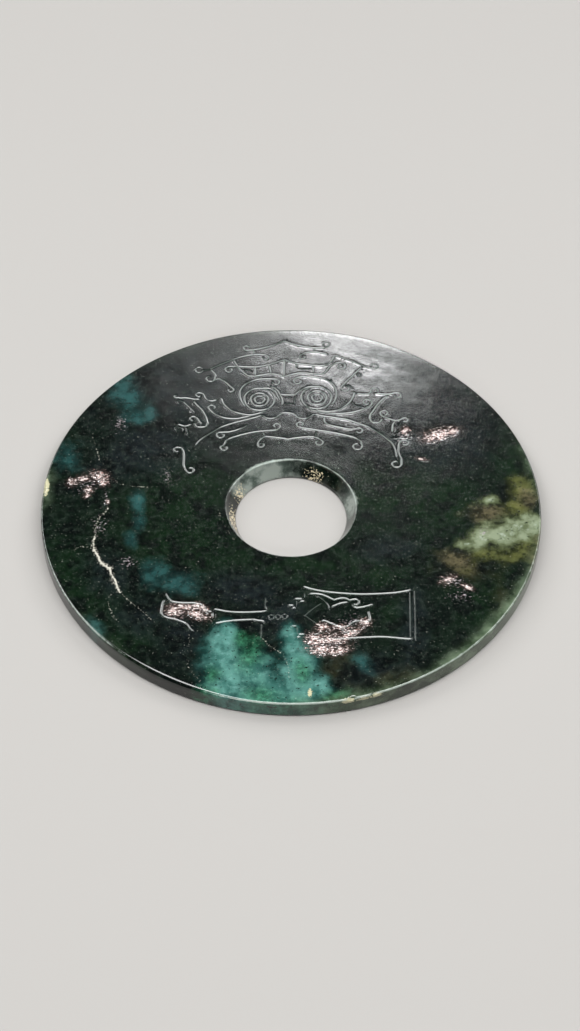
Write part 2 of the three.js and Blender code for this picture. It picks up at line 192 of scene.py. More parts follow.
# The mask: crest, brows, eyes, nose, mouth and whiskers
MASK_MIDDLE = [
    [hook(-19.5, 88.75, 1.35, 1.15, 270, -270),
     line(-16.9, 87.6, -12.4, 88.85, -7.8, 90.85, -5.5, 92.2, -4, 93.1, -4, 93.1),
     line(-2.1, 92.2, 2.5, 90.4, 7.1, 89.5, 10.5, 89.3, 12.9, 89.45),
     curl(13.6, 91.6, 1.45, 1.15, 300, 290)],
    [line(-24.9, 81.8, -24.1, 80, -21.9, 75.95, -20.1, 73.95, -18.5, 72.65, -16, 72.45),
     line(-12.4, 73.2, -9.2, 73.9, -6.2, 73.4, -3.4, 72.4, -3.4, 72.4, -1, 73.4, 2.5, 74.5),
     line(7.1, 74.35, 10.5, 74.1, 12.9, 74.7, 14.1, 76.2, 15.2, 78.2, 16.6, 79.8, 18.2, 80.7),
     curl(19.9, 78.75, 2.15, 0.7, 100, -430)],
    [hook(-26.5, 75.9, 1.9, 0.8, 85, 370),
     line(-22, 77.8, -19.2, 77.65, -16.9, 77.65, -14.6, 77.8, -10.1, 79.2, -5.5, 81.3),
     line(-3.6, 82.2, -3.6, 82.2, -1.5, 81.2, 0.8, 80.2, 4.8, 79.5, 9.4, 79, 13, 79.2),
     line(15.2, 80.6, 16.3, 82.2, 17.5, 84.9, 17.5, 84.9, 19.6, 84.1, 22.3, 82.9, 26.8, 80.7),
     line(31, 78.3),
     curl(33.8, 79.15, 1.6, 1.25, 250, 300)],
    [line(-12.3, 50.4, -11.5, 49.35, -10.1, 48.5, -8.3, 48.45, -6.8, 49.1, -5.4, 50.4),
     line(-4.2, 51.5, -2.5, 51.75, -0.6, 51.5, 0.8, 50.9, 2.2, 49.3, 3.8, 48.65, 5.6, 48.8),
     line(7.1, 49.8, 8.4, 50.85, 9.6, 51.2)],
    [line(-5.5, 62.4, -4, 62.05, 0.4, 61.95, 1.3, 62.4, 2.9, 64.3, 4.2, 65.4, 5.6, 66.2),
     line(7.4, 66.8, 9.4, 66.9)],
    [hook(-12.6, 33.5, 1.3, 1.1, 165, 285),
     line(-13.6, 35.3, -12.6, 36.9, -11.6, 37.9, -10.6, 38.25, -7.8, 38, -3.5, 37.35),
     line(-1.7, 36.85, -1.7, 36.85, 0.4, 37.5, 4.8, 38.25, 7.1, 38.5, 8.8, 38.45, 10.2, 38),
     line(11.4, 37.2, 12.3, 36.2),
     curl(10.95, 35.35, 1.65, 1, 15, -300)],
    [line(-16.6, 87.8, -16.5, 85.2)],
    [line(8.6, 89.4, 8.6, 87.4)],
    [line(-15.7, 77.8, -15.7, 73)],
    [line(-10.2, 79.2, -9.8, 77.3, -9.2, 74.3)],
    [line(-3.7, 81.9, -3.75, 72.8)],
    [line(1.45, 80.2, 1.45, 77.8)],
    [line(8.5, 79.2, 8.5, 74.8)],
]
MASK_LEFT = [
    [line(-34.4, 76.1, -33.2, 77.05, -30.2, 78.95, -25, 81.9, -21.5, 83.5, -16.9, 84.75),
     line(-12.9, 85, -11, 84.5),
     curl(-11.5, 83.35, 1.2, 1.05, 40, -240)],
    [curl(-39.05, 75.5, 1.55, 1.45, 20, 350)],
    [line(-34.3, 76.1, -33.6, 75, -32.6, 73.7, -32, 72.4),
     curl(-34.35, 70.8, 2.15, 1.2, 15, -290)],
    [line(-32.9, 69.5, -31.5, 70.3, -30.3, 70.45, -29, 69.65, -27.6, 68.4, -26.5, 67.05),
     line(-25.4, 65.8, -24.6, 65),
     curl(-25.65, 64.35, 1.2, 1, 15, -240)],
    [ring(-13.65, 59.2, 6.25)],
    [ring(-13.6, 59.05, 3.65)],
    [ring(-13.6, 59.05, 2)],
    [line(-13, 65.5, -10.1, 65.5, -8.7, 65, -7.4, 63.9, -6.6, 62, -5.8, 60.2, -5.2, 58.9)],
    [line(-9.2, 66.9, -8.2, 66.3, -7.2, 65.3, -6.1, 64, -5.4, 62.4, -4.8, 61, -4.3, 59.2),
     line(-4.1, 57.6, -4.3, 56)],
    [hook(-7.1, 69.2, 1.65, 1.2, 75, -270),
     line(-8.6, 70.95, -10.1, 70.95, -13.3, 70.75, -15.5, 70.25, -17.2, 69.4, -18.9, 68.3),
     line(-20.3, 66.8, -21.3, 64.9, -21.8, 62.8, -21.8, 61, -21.4, 58.8, -20.7, 57),
     line(-19.4, 55.2)],
    [line(-29.5, 60, -29, 57.8, -28.2, 55.9, -26.6, 54, -24.3, 52.2, -22.2, 51.2, -19.3, 50.45),
     line(-16.9, 50.25, -15, 50.8, -13, 51.6, -11, 52.8)],
    [hook(-33.2, 54.2, 1.45, 1.15, 220, -270),
     line(-33.4, 52.1, -32.3, 50.9, -30.7, 49.8, -28.2, 48.5, -25, 48, -22.3, 48.15),
     line(-20.3, 48.8, -18.2, 49.35, -16.6, 50)],
    [line(-12.4, 50.3, -14.2, 49.3, -15.8, 48.65, -20.3, 47, -24.9, 45.2, -29.5, 42.9),
     line(-31.8, 41.15, -34.3, 39, -36.4, 37, -37.8, 35.3, -39.3, 32.8)],
    [hook(-29.1, 38.65, 1.75, 1.1, 125, 310),
     line(-28.4, 40.35, -26.1, 40.5, -24.3, 41, -22.6, 41.7, -21, 42.5, -19.3, 43.7),
     line(-18.3, 44.6)],
    [hook(-27.55, 31.65, 1.6, 1.1, 100, 330),
     line(-27.2, 34.4, -27, 35.5, -26.1, 36.5, -24.6, 37.3, -21.5, 38.7, -18.5, 39.8),
     line(-15.5, 40.7, -12.4, 41.3, -9, 41.75, -6.7, 42.05),
     curl(-6.5, 44.35, 1.75, 0.7, 300, 330)],
    [hook(-47.9, 60.3, 0.95, 0.8, 320, -250),
     line(-46.6, 59.3, -44.2, 59.5, -42, 59.1, -40.4, 58.7, -38, 58.85)],
    [hook(-38.7, 61.2, 1.25, 1, 75, 250),
     line(-37.2, 62, -36.6, 60.9, -36.1, 59.6, -35, 58.5, -33.6, 57.9, -32.2, 58.2, -31, 58.8)],
    [line(-40.9, 57.6, -39.5, 55.5, -38.1, 53.8, -37, 52.2, -36.1, 50.3, -35.4, 48.4),
     line(-35, 46.6, -34.7, 45, -35.4, 43.5, -37.2, 43, -38.8, 43.2, -39.8, 44.3, -40.1, 45.3)],
    [hook(-40.7, 47.6, 1.35, 1.05, 70, 210),
     line(-39.1, 48, -38.2, 46.3, -37.2, 44.6)],
    [line(-47.2, 44.7, -45.5, 44, -44, 43.3, -44, 43.3, -42.2, 44.1, -41, 44.9)],
    [hook(-46.7, 30.3, 1.35, 1, 60, 250),
     line(-45.2, 31.5, -44.7, 30.9, -44.2, 29.6, -43.8, 27.4, -43.75, 25, -43.75, 22.6),
     line(-43.5, 20.8, -42.9, 19.2),
     curl(-41, 19.25, 1.65, 1.2, 200, 290)],
]
MASK_RIGHT = [
    [line(14.5, 85.6, 13, 86.1, 11.4, 86.5, 8.8, 87, 6.5, 86.6, 4.3, 85.9, 3.1, 85),
     curl(4.1, 83.95, 1.5, 0.5, 160, 290)],
    [ring(9.8, 60.6, 6.25)],
    [ring(10.1, 60.5, 3.9)],
    [ring(10.1, 60.5, 2.1)],
    [hook(2.1, 69.9, 1.9, 1.15, 120, 280),
     line(2.4, 72.1, 4.8, 72.65, 7.2, 72.7, 9.5, 72.4, 11.7, 71.8, 13.8, 70.9, 15.5, 69.6),
     line(16.9, 67.7, 17.8, 65.2, 18.1, 62.6, 17.9, 60.5, 17.2, 58.5, 16.1, 56.9)],
    [line(5.4, 55.6, 6.6, 54.7, 8.2, 53.5, 10.7, 52.7, 13.9, 52.1, 17.3, 51.75, 20.7, 51.75),
     line(23, 52.15, 26.8, 53.3, 28.8, 54.3, 30.8, 55.5),
     curl(30.6, 58.2, 2.35, 0.7, 310, 430)],
    [line(9.6, 54, 11.2, 53.2, 13, 52.85, 15.2, 52.75, 17.2, 53.1, 19.1, 54, 21, 55.4),
     line(22.6, 57, 24, 59, 25, 61.2, 25.5, 63, 25.5, 64.3)],
    [line(9, 51.4, 11.6, 50.4, 13.9, 50, 18.5, 49.15, 22.3, 48.4, 26.8, 46.4, 31.4, 44.3),
     line(33.6, 42.7, 35.6, 41, 38.4, 38.1, 40.5, 35.8, 41.6, 33.2, 42.3, 30.1, 42.6, 27.6)],
    [line(13.3, 49.9, 13.1, 48.3, 13.2, 47.1, 14.4, 45.8, 17.2, 44.5, 19.8, 43.85, 22.2, 43.2),
     line(24.3, 42.95, 25.6, 43.2),
     curl(27.3, 42.3, 1.6, 1.1, 145, -330)],
    [hook(3.3, 45.4, 1.6, 0.9, 230, -290),
     line(3.5, 43.7, 5.5, 43.2, 8, 42.75, 11.6, 42, 14.5, 41.5, 17.8, 40.7, 20.7, 39.9),
     line(23, 39.2, 25.5, 38.3, 27.2, 37.2, 28.1, 36.3),
     curl(26.5, 33.6, 2.2, 1.2, 40, -350)],
    [line(28.9, 78.7, 27.5, 76.9, 26.2, 75.3, 25, 73.6, 22.9, 70.9, 21.8, 69.2, 20.6, 67.6),
     curl(21.85, 66.1, 1.75, 1.2, 150, 300)],
    [line(26.3, 63.3, 28, 62.9, 30, 62.85, 31.4, 63.4),
     curl(33.9, 65.1, 1.6, 1.3, 205, -240)],
    [line(33.8, 63.6, 35.8, 63.2, 38.2, 63.1, 40.2, 63.2, 41.8, 63.8, 43, 64),
     curl(43.3, 62.5, 1.45, 1, 55, -250)],
    [line(39.5, 62.4, 37.8, 60.8, 36.4, 59, 34.7, 56.5, 33.3, 53.6, 32.3, 51.9, 31.8, 50.2),
     line(31.9, 48.6, 32.6, 47.4, 33.8, 46.9, 35, 46.9, 36.2, 47.7, 37, 49.3)],
    [hook(37.8, 52.3, 1.75, 1.1, 230, -330),
     line(37.3, 50.6, 38.8, 49.7, 40.5, 48.8, 42.3, 48.2, 43.8, 48.6, 45.2, 49.5),
     curl(46.2, 48.6, 1.25, 0.9, 75, -240)],
    [line(42.4, 48, 41.5, 46.5, 41.1, 45, 41, 43.4, 40.9, 41.8)],
    [hook(46.1, 35.8, 1.5, 1.1, 100, -280),
     line(44.4, 37, 43.7, 35.4, 43.4, 33, 43.3, 31, 43.7, 28.9, 44.4, 27),
     curl(42.3, 24.2, 2.3, 1.2, 20, -320)],
]

# The blade: its outline, the ribbon and diamond inside it, the stepped guards, dots and tang
BLADE = [
    [line(5, -41.4, 8, -42.6, 12.3, -43.7, 18, -44.5, 26, -45, 32, -44.9, 40.75, -44.1),
     line(44, -43.45, 47.6, -42.5)],
    [line(9.4, -67.8, 18.5, -67.6, 27, -66.95, 36, -66.45, 44.5, -67.2, 47.5, -67.3)],
    [line(7.4, -45.2, 9.9, -45.1, 12, -45.4, 13.9, -46.2, 15.6, -47.2, 17.2, -48.2),
     line(17.2, -48.2, 18.6, -47.6, 20.4, -47.15, 21.8, -47.35, 23.3, -48.3, 23.3, -48.3),
     line(24.6, -47.75),
     curl(25.5, -49.3, 1.6, 1, 80, -220)],
    [line(24.3, -50.2, 25, -51.5, 26.2, -51.9, 28.2, -51.6, 30, -51.05, 32.5, -50.1)],
    [line(16, -51.9, 17.8, -50.8, 20.1, -49.7, 22.6, -49.2)],
    [line(12.2, -58.9, 13.5, -58.7, 15.4, -59.7, 18.2, -61.1, 20.4, -61.7, 22.3, -61.4),
     line(23.7, -60.2, 24.6, -59.2, 26, -58.65, 28.2, -58.65, 30, -59.1, 30.9, -58.4),
     line(31.1, -56.9, 30.8, -55.2, 30.5, -53.6)],
    [line(1.7, -47.8, 4.9, -47.8)],
    [line(3.7, -49.2, 5.9, -48.8)],
    [line(-0.9, -51.15, 1.6, -51.15)],
    [line(0.8, -52.4, 2.4, -52.4)],
    [line(0.5, -61.65, 2.9, -61.65)],
    [line(3.2, -65.65, 5.9, -65.65)],
    [line(2.6, -67, 4.4, -67)],
    [line(-48.6, -46, -47.8, -47.9, -46.9, -49.1, -46, -50, -44.4, -50.4, -42.8, -50.6),
     line(-40.3, -50.7, -38.5, -50.6, -36.2, -50.8, -34.6, -51.4, -33.1, -53, -31.8, -54.6),
     line(-30.2, -55)],
    [line(-29.6, -53.6, -28, -53.9, -25, -54.6, -22, -54.95, -15.75, -54.95, -12.5, -54.7),
     line(-10.5, -54.5, -8.8, -54)],
    [line(-28.9, -60.8, -27, -60.3, -24.5, -59.7, -22, -59.25, -17, -58.8, -14, -58.7),
     line(-12, -59.1, -10.6, -59.3, -9.6, -60)],
    [line(-48.9, -49.2, -49.6, -51.2, -49.8, -53.5, -49.95, -55.8, -49.2, -57.3, -47, -58.4),
     line(-45, -58.8, -43.5, -59.4, -41.6, -60.2, -40.3, -60.9, -39.4, -62, -38.7, -63.4),
     line(-37.2, -64.8)],
    [line(-30, -55.4, -30, -57.8)],
]

# Lines cut more lightly: fine bars, rays and hatching of the mask and the blade
LIGHT_STROKES = [
    [line(-37.5, 75.2, -36, 75.6, -34.3, 76)],
    [line(-20.4, 75.9, -18, 75.8, -16.8, 75.3)],
    [line(2.2, 77, 7.6, 77)],
    [line(1.2, 61.9, 0.95, 60, 0.8, 58, 0.8, 56.4)],
    [line(-3.4, 60.5, -0.3, 60.5)],
    [line(-3.8, 57, 0.4, 57)],
    [line(24.3, 58.8, 25.1, 57.1, 26.9, 56.1, 29.3, 55.9)],
    [line(-12.3, 41.4, -11.6, 39.8, -11, 38.3)],
    [line(10.1, 41.9, 9.7, 40.1, 9.5, 38.4)],
    [hook(-46.6, 56.9, 1.1, 0.8, 45, 260),
     line(-45, 57.2, -44, 55.9, -42.6, 54.2, -41.2, 52.4, -40, 50.8)],
    [hook(-47.2, 42.1, 1.1, 0.9, 50, 250),
     line(-45.4, 42.5, -44.7, 41.6, -44.3, 40.6)],
    [line(-43.5, 43, -43.1, 41.5, -42.75, 39.8, -42.5, 38.6)],
    [line(21.4, 68.2, 22.7, 68.1, 24, 67.3, 24.9, 66)],
    [ring(27.6, 73.9, 0.85)],
    [line(46.9, -43.2, 46.8, -67)],
    [line(48.7, -42.6, 48.8, -55, 48.7, -67.8)],
    [line(10.1, -46.1, 11.7, -46.9, 13.1, -48.3, 14.3, -49.9, 15.1, -51.6, 15.4, -53.2)],
    [line(12.6, -49.6, 9.4, -52.3, 5.9, -56.1, 5.9, -56.1, 8.2, -58.2, 11.7, -61.2)],
    [line(19.8, -63.9, 21.8, -64.5, 23.6, -63.9, 24.6, -62.6)],
    [ring(-7.1, -57.2, 1.1)],
    [ring(-4.5, -57, 1.1)],
    [ring(-2, -56.8, 1.1)],
    [line(9, -66, 11.3, -65.2, 13.3, -64)],
    [line(2.7, -48.4, 2.6, -51)],
    [line(5.7, -44.6, 5.7, -47)],
    [line(0, -63, 1.1, -63)],
    [line(3, -61.9, 3, -65.2)],
    [line(-38.6, -52.1, -36.2, -52.1, -34.8, -52.8, -33.7, -53.9, -32.5, -55.3, -31.9, -56.3)],
    [line(-28.9, -55.6, -28.9, -58.6)],
    [line(-9.5, -47, -9.5, -52.4, -8.8, -53.8)],
    [line(-10.9, -60.5, -11, -67.5)],
]

# Healed cracks of the stone: half width, how pale, and the line
VEINS = [
    (0.35, 0.5, line(-73, 1, -73.6, -3, -76.4, -7, -77.6, -13, -78, -17)),
    (0.5, 0.8, line(-77.4, -16, -78.2, -20, -77.6, -24)),
    (0.6, 1.1, line(-77.6, -24, -75.8, -27.6, -74.2, -31, -72.4, -32.4, -71, -33.8)),
    (0.9, 0.6, line(-74.6, -30.6, -72, -32, -70, -33.2)),
    (0.5, 1.05, line(-71, -33.8, -70, -37, -68.4, -40, -67.6, -43, -66.6, -45.6)),
    (0.8, 0.45, line(-70, -39, -68, -43.6)),
    (0.3, 0.42, line(-67, -45, -62, -50.5, -57.5, -55, -53.5, -59.5)),
    (0.35, 0.35, line(-69.8, -46, -70.8, -50, -69.6, -55, -66.5, -60.5)),
    (0.35, 0.4, line(-77.4, -24, -80, -22.6, -83, -22.5, -86, -24)),
    (0.3, 0.28, line(-83.5, 42, -81, 36, -79.5, 30.5, -77.8, 24)),
    (0.3, 0.35, line(-72, 13, -68.5, 11.4, -64, 10.3, -57, 9.6)),
    (0.45, 0.2, line(-39.5, -62, -38.6, -70, -39.6, -78)),
    (0.4, 0.3, line(-39.6, -78, -38, -84, -35, -88, -33.6, -93)),
    (0.3, 0.45, line(-10.5, -68, -6.5, -72.5, -2.5, -76, -0.5, -81, 0, -87)),
    (0.3, 0.3, line(-28.5, -4, -25.6, -12, -22, -18)),
]

# Broad colours of the stone as soft ovals: x, y, half length, half width and tilt in degrees
TEAL = [
    (-24, -66, 5, 7, 0), (-26, -78, 8, 12, 0), (-14, -84, 8, 11, 0), (-24, -91, 9, 8, 0), (1, -68, 4.5, 8, 5),
    (4, -80, 7, 11, -8), (9, -92, 8, 7, -15), (-6, -92, 10, 8, 0), (-8, -99, 20, 6, 0),
]
TEAL_FAINT = [
    (-69, 62, 6, 14, 24), (-62, 50, 6, 6, 0), (-92, 25, 6, 7, -12), (-61.5, 2, 2.8, 6, 4),
    (-60.5, -9, 2.6, 5, 0), (-63, -18, 2.8, 4, 0), (-53, -36, 6, 7, -16), (-44, -40, 8, 6, -10),
    (-76, -64, 4, 6, 40), (28, -79, 3.6, 6, 30),
]
EMERALD = [
    (-15, -78, 6, 10, 0), (-19, -68, 3, 6, 0), (-10, -96, 9, 7, 0), (5, -84, 4, 8, 10), (-3, -101, 16, 5, 0),
    (-34, -97, 8, 5, 15), (18, -97, 8, 4, 10), (-29, -86, 4, 6, 0),
]
MOSS = [
    (-45, 5, 22, 22, 0), (-40, -22, 26, 16, 10), (-82, -40, 16, 22, 30), (-65, -70, 18, 12, 40),
    (40, 8, 24, 16, 10), (20, -32, 26, 10, 0), (80, -48, 14, 16, 20), (62, 2, 12, 16, 0),
    (90, 26, 8, 14, 20), (42, -55, 6, 8, 0), (-10, -33, 14, 8, 0),
]
SLATE = [
    (0, 66, 70, 28, 0), (-60, 30, 20, 16, 20), (58, 36, 20, 14, -20), (-72, -36, 9, 12, 30),
    (-58, -58, 10, 9, 20), (-42, -68, 9, 10, 0), (-2, -58, 9, 12, 0), (26, -84, 16, 9, 0),
    (48, -64, 6, 22, 0), (-18, -42, 14, 8, 0), (38, -22, 12, 7, 0), (-30, -84, 6, 6, 0),
]
BROWN = [
    (40, -90, 14, 6, 20), (15, -85, 10, 6, 20), (24, -76, 7, 4, -20), (68, -32, 12, 7, 0),
    (88, -52, 8, 12, 20),
]
MINT = [
    (91, -10, 8, 6, 8), (84, -14, 7, 7.5, 10), (76, -15.5, 5.4, 4.4, 30), (70, -18.5, 4.4, 2.8, 20),
    (97, -8, 5, 4.6, 0), (80, 5.3, 4.6, 2.4, 8),
]
OLIVE = [
    (92, -18.5, 5, 4, 20), (88, -23, 7, 3.4, 12), (73.5, -26, 2.6, 6.5, -42), (97, -26, 3, 8, 12),
    (96, 12, 3.4, 7, 10), (89, 1, 5, 4.5, 0), (80, -21.5, 6.4, 3.4, 10), (98, -17, 3, 7, 0),
    (90, 12, 4, 5, 0),
]
TAN = [
    (78.5, -2, 7, 4.4, 8), (66, -27, 7.5, 4.4, -24), (96, 7, 4.4, 5, 0), (98.5, -14, 2, 8, 6),
    (97, -27, 2.4, 7, 10),
]
# Bruised places where the stone broke into bright flakes, and looser scatterings of them
FLAKES = [
    (-77.5, 15.5, 4, 2.8, -20), (-75.8, 12, 2, 2.2, 0), (-81.4, 8, 2, 1.8, 20), (-82, 4.6, 1.6, 1.2, 20),
    (-88, 12, 2.4, 2, 20), (-73.6, 1.6, 0.8, 1.4, 0), (-84, 14, 2.4, 1.8, 0),
    (60, 41, 7, 3.2, 15), (57, 38.4, 4, 2, 20), (65.5, 42.5, 3, 2, 40), (53, 27, 2.4, 0.9, -10),
    (46.2, 42.5, 2, 2.6, 0), (62, -36.8, 3.4, 2, 30), (69.5, -40.6, 2.6, 1.3, -30),
    (-34.4, -52.6, 3.2, 1.6, -35), (-40, -52.5, 5, 1.6, 0), (-36, -56.4, 5, 2.4, -20),
    (-45, -54.6, 3.6, 3.2, 0),
    (10, -68.4, 4.4, 3.6, 0), (17, -68, 6, 3.4, 10), (24, -64.5, 4.6, 2, 30), (13, -73.5, 6.4, 2.6, 0),
    (20, -61.6, 3, 1.4, 0), (13, -62, 2.8, 2.4, 0), (29, -59.4, 2.4, 2.4, 20), (20, -73.4, 4, 2, 20),
]
FLECKS = [
    (-83, 11, 8.5, 9, 0), (-74, 4, 2.4, 8, 0), (-76, -12, 6, 10, 0), (-64, -30, 8, 6, 0), (61, 40, 11, 6, 12),
    (45, 40, 5, 8, 0), (64, -38, 9, 6, 0), (67, -45, 9, 5, 0), (-41, -55, 9, 6.4, 0), (-34, -56, 6, 5, 0),
    (18, -67, 15, 8, 8), (24, -59, 9, 6, 20), (12, -74, 8, 5, 0), (-70, 45, 5, 9, 0), (76, -12, 6, 4, 20),
    (-50, 15, 4, 8, 0),
]
# Places where a lost chip shows the cream skin of the stone
CREAM = [
    (22.6, -97.4, 2.4, 1, 14), (29, -96.4, 2.6, 1.1, 16), (33.6, -94.6, 2.4, 1, 22), (8, -94.5, 0.9, 2, 0),
    (-98.5, 9, 1.2, 5, 0),
]

# Small breaks on the rim: angle in degrees, half lengths along, inwards and down
RIM_CHIPS = [
    (176, 5.2, 1, 1.6), (171, 2.6, 0.8, 1.1), (284, 2.4, 1.1, 1.2), (289, 1.8, 0.9, 1), (340, 2, 0.7, 0.9),
]
CHIP_LIFT = 0.1

# Painted rim glow, paler bore wall with painted sheen, and bore flecks: angle and spread in degrees, how pale
RIM_GLOW = [
    (322, 26, 0.9), (345, 18, 0.5), (285, 16, 0.7), (222, 24, 0.25), (175, 8, 0.6), (90, 60, 0.25),
    (10, 16, 0.5),
]
BORE_PALE_AND_SHEEN = [(118, 30, 1), (150, 14, 0.5), (14, 18, 0.7)]
BORE_FLECKS = [(192, 30, 1), (152, 16, 0.9), (66, 16, 0.9)]


def smoothed(knots, spacing=0.3):
    """A centripetal curve through the knots, as points about that far apart."""
    knots = [np.array(k, float) * FACE_SCALE for k in knots]
    if len(knots) == 2:
        return np.array(knots)
    if np.linalg.norm(knots[0] - knots[-1]) < 0.1:
        ends = [knots[-2], *knots, knots[1]]
    else:
        ends = [2 * knots[0] - knots[1], *knots, 2 * knots[-1] - knots[-2]]
    points = [knots[0]]
    for a, b, c, d in zip(ends, ends[1:], ends[2:], ends[3:]):
        g0, g1, g2 = (max(math.sqrt(np.linalg.norm(q - p)), 0.01) for p, q in ((a, b), (b, c), (c, d)))
        leave = ((b - a) / g0 - (c - a) / (g0 + g1) + (c - b) / g1) * g1
        reach = ((c - b) / g1 - (d - b) / (g1 + g2) + (d - c) / g2) * g1
        count = max(1, round(np.linalg.norm(c - b) / spacing))
        for t in np.linspace(0, 1, count + 1)[1:]:
            start, stop = 2 * t**3 - 3 * t**2 + 1, 3 * t**2 - 2 * t**3
            points.append(start * b + stop * c + (t**3 - 2 * t**2 + t) * leave + (t**3 - t**2) * reach)
    return np.array(points)


def resampled(points, spacing):
    gaps = np.linalg.norm(np.diff(points, axis=0), axis=1)
    reach = np.concatenate(([0], np.cumsum(gaps)))
    at = np.linspace(0, reach[-1], max(2, round(reach[-1] / spacing) + 1))
    return np.column_stack([np.interp(at, reach, points[:, k]) for k in (0, 1)])


def stretches_of(knots):
    """Splits a stroke at its sharp corners and smooths each stretch."""
    parts = [[knots[0]]]
    for before, knot in zip(knots, knots[1:]):
        if knot == before:
            parts.append([knot])
        else:
            parts[-1].append(knot)
    return [resampled(smoothed(part), STATION) for part in parts if len(part) > 1]


class Cut:
    """One engraved stroke: its stretches, and how deep each point of them is cut."""

    taper = 0.9
    end_share = 0.4

    def __init__(self, pieces, weight):
        knots = [point for piece in pieces for point in piece]
        self.stretches = stretches_of(knots)
        closed = math.dist(knots[0], knots[-1]) < 0.1
        whole = np.concatenate(self.stretches)
        gaps = np.linalg.norm(np.diff(whole, axis=0), axis=1)
        run = np.concatenate(([0], np.cumsum(gaps)))
        to_end = np.minimum(run, run[-1] - run)
        share = np.minimum(1, self.end_share + (1 - self.end_share) * to_end / self.taper)
        weights = np.full(len(whole), weight) if closed else share * weight
        self.weights = np.split(weights, np.cumsum([len(s) for s in self.stretches])[:-1])

    def nearest(self, points):
        """Distance of each point to the stroke, and the stroke's weight there."""
        best = np.full(len(points), 1e9)
        weight = np.zeros(len(points))
        for stretch, weights in zip(self.stretches, self.weights):
            start, along = stretch[:-1], np.diff(stretch, axis=0)
            length2 = np.maximum((along**2).sum(1), 1e-12)
            t = ((points[:, None, :] - start) * along).sum(2) / length2
            t = np.clip(t, 0, 1)
            gap = np.linalg.norm(points[:, None, :] - (start + t[..., None] * along), axis=2)
            at = gap.argmin(1)
            rows = np.arange(len(points))
            near = gap[rows, at] < best
            share = t[rows, at]
            here = weights[at] * (1 - share) + weights[at + 1] * share
            best = np.where(near, gap[rows, at], best)
            weight = np.where(near, here, weight)
        return best, weight

    def box(self):
        whole = np.concatenate(self.stretches)
        return whole.min(0), whole.max(0)


CUTS = [Cut(pieces, 1.0) for pieces in MASK_MIDDLE + MASK_LEFT + MASK_RIGHT + BLADE]
CUTS += [Cut(pieces, LIGHT_WEIGHT) for pieces in LIGHT_STROKES]
VEIN_LINES = [(half, pale, resampled(smoothed(knots), STATION)) for half, pale, knots in VEINS]


def groove_share(gap, weight):
    """How much of the full depth is cut at a distance from the centreline."""
    half = GROOVE_HALF * (LEAST_WIDTH + (1 - LEAST_WIDTH) * weight)
    wall = 1 - (np.hypot(gap, GROOVE_BOTTOM) - GROOVE_BOTTOM) / half
    soft = (wall + np.sqrt(wall**2 + GROOVE_SHOULDER**2)) / 2
    return weight * np.clip(soft - LEVEL, 0, 1)


def within(points, low, high, reach):
    """Which points lie in a rectangle that is widened by the reach."""
    return np.flatnonzero(((points > low - reach) & (points < high + reach)).all(1))


def cut_at(points):
    """The engraving at each point: share of the full depth, and distance to the nearest line."""
    share = np.zeros(len(points))
    nearest = np.full(len(points), 1e9)
    for cut in CUTS:
        inside = within(points, *cut.box(), CUT_REACH)
        if len(inside):
            gap, weight = cut.nearest(points[inside])
            share[inside] = np.maximum(share[inside], groove_share(gap, weight))
            nearest[inside] = np.minimum(nearest[inside], gap)
    return share, nearest


def line_distance(points, path):
    """Distance of each point to a path, for the points near it."""
    found = np.full(len(points), 1e9)
    inside = within(points, path.min(0), path.max(0), VEIN_REACH)
    if len(inside):
        gap = np.linalg.norm(points[inside][:, None, :] - path, axis=2)
        found[inside] = gap.min(1)
    return found


def ovals(points, table):
    """1 at the middle of an oval, 0 on its edge and less outside; neighbours flow together."""
    total = np.full(len(points), math.exp(-OVAL_FLOW))
    for x, y, half_length, half_width, tilt in table:
        turn = math.radians(tilt)
        across = points - np.array([x, y]) * FACE_SCALE
        u = (across[:, 0] * math.cos(turn) + across[:, 1] * math.sin(turn)) / half_length
        v = (across[:, 1] * math.cos(turn) - across[:, 0] * math.sin(turn)) / half_width
        total += np.exp(OVAL_FLOW * (1 - np.hypot(u, v)))
    return np.log(total) / OVAL_FLOW


def noise_at(points, grain, seed):
    """Smooth noise from -1 to 1 with that grain in mm."""
    return np.array([noise.noise(Vector((x / grain, y / grain, seed))) for x, y in points])


def bump(angle, centre, spread):
    apart = np.abs((angle - centre + 540) % 360 - 180)
    return np.exp(-((apart / spread) ** 2))


def outer_radius(angle):
    return RADIUS + RIM_SWELL * FACE_SCALE * bump(angle, *SWELL_AT)


def rim_softness(angle):
    return RIM_ARRIS + WORN_ARRIS * bump(angle, *WORN_AT)


def bore_radius(angle):
    """The bore's mouth wavers, in broad and narrow waves, where the hand strayed."""
    broad = BROAD_WANDER * np.sin(np.radians((angle - 20) * 3))
    narrow = NARROW_WANDER * np.sin(np.radians((angle + 40) * 7))
    return BORE_MOUTH + (broad + narrow) * bump(angle, *WANDER_AT)


ANGLES = np.arange(AROUND) * 360 / AROUND


def ring_at(radius, height):
    turn = np.radians(ANGLES)
    return np.column_stack([radius * np.cos(turn), radius * np.sin(turn), np.broadcast_to(height, AROUND)])


